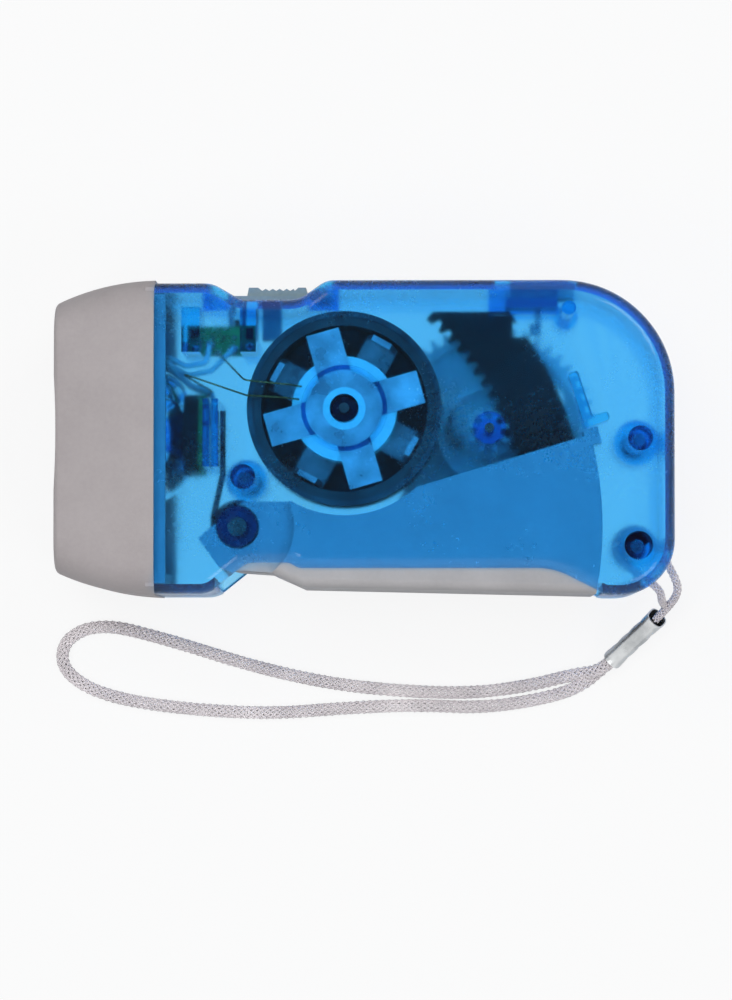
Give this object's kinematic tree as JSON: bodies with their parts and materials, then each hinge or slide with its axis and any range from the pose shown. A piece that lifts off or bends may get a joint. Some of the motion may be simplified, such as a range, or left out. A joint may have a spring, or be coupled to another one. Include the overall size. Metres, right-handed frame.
{
  "type": "squeeze-lever dynamo torch",
  "caption": "Hand torch with a clear case, squeeze lever and gear-driven generator, thumb switch, lever lock, lamp head and wrist strap.",
  "frame": {"origin": "middle of the resting face: the torch lies on its right shell, strap not counted", "axes": "+X from the lamp to the rear end, +Y from the lever to the thumb switch, +Z from the right shell up to the left shell"},
  "size_m": [0.1096, 0.0756, 0.038],
  "materials": {
    "blue_clear": "clear blue polystyrene, gloss",
    "grey_plastic": "fine matt grey ABS",
    "clear_lens": "clear polystyrene",
    "bright_metallised": "vacuum metallised",
    "black_plastic": "matt black acetal",
    "board_green": "green solder mask",
    "led_clear": "water-clear epoxy",
    "plated_steel": "bright plated",
    "spring_steel": "oiled spring wire",
    "dark_steel": "dark oxide",
    "ferrite": "bonded ferrite",
    "white_plastic": "natural nylon",
    "slider_grey": "matt grey-green ABS",
    "enamelled_copper": "enamelled copper wire",
    "white_insulation": "white PVC insulation",
    "braid": "braided polyester cord"
  },
  "bodies": {
    "housing": {"left_shell": "blue_clear", "right_shell": "blue_clear", "head_shroud": "grey_plastic", "lens": "clear_lens", "reflector": "bright_metallised", "led_holder": "black_plastic", "led_board": "board_green", "led_1": "led_clear", "led_2": "led_clear", "led_3": "led_clear", "switch_board": "board_green", "slide_switch": "plated_steel", "stator_front_claw": "plated_steel", "stator_rear_claw": "plated_steel", "coil_bobbin": "white_plastic", "coil_winding": "enamelled_copper", "flywheel_axle": "plated_steel", "gear_axle": "plated_steel", "lever_pivot_pin": "plated_steel", "axle_washers": "plated_steel", "torsion_spring": "spring_steel", "case_screws": "plated_steel", "lamp_leads": "white_insulation", "coil_leads": "enamelled_copper", "strap_ferrule": "plated_steel", "strap_anchor_loop": "braid", "wrist_strap": "braid"},
    "lever": {"trigger_lever": "grey_plastic", "sector_rack": "black_plastic", "rack_pins": "plated_steel"},
    "rack_pinion": {"rack_pinion": "white_plastic"},
    "drive_gear": {"drive_gear": "white_plastic", "clutch_pawls": "spring_steel"},
    "flywheel": {"rotor_pinion": "white_plastic", "flywheel_cup": "dark_steel", "magnet_ring": "ferrite"},
    "power_switch": {"switch_slider": "slider_grey", "switch_knob": "black_plastic"},
    "lock_button": {"lock_slider": "slider_grey"}
  },
  "joints": [
    {"name": "lever_hinge", "type": "hinge", "parent": "housing", "child": "lever", "pos_m": [-0.0214, -0.0152, 0.019], "axis": [0, 0, 1], "range_deg": [-21.5, 0], "deforming": ["torsion_spring"]},
    {"name": "pinion_spin", "type": "hinge", "parent": "housing", "child": "rack_pinion", "pos_m": [0.02122, 0.00143, 0.019], "axis": [0, 0, 1], "continuous": true},
    {"name": "flywheel_spin", "type": "hinge", "parent": "housing", "child": "flywheel", "pos_m": [-0.0033, 0.0048, 0.019], "axis": [0, 0, 1], "continuous": true},
    {"name": "drive_gear_spin", "type": "hinge", "parent": "housing", "child": "drive_gear", "pos_m": [0.02122, 0.00143, 0.019], "axis": [0, 0, 1], "continuous": true},
    {"name": "switch_slide", "type": "slide", "parent": "housing", "child": "power_switch", "axis": [1, 0, 0], "range_m": [-0.0028, 0]},
    {"name": "lock_slide", "type": "slide", "parent": "housing", "child": "lock_button", "axis": [1, 0, 0], "range_m": [-0.0025, 0]}
  ],
  "couplings": [
    {"joint": "pinion_spin", "follows": "lever_hinge", "ratio": 16.25},
    {"joint": "drive_gear_spin", "follows": "flywheel_spin", "ratio": -0.34694}
  ]
}
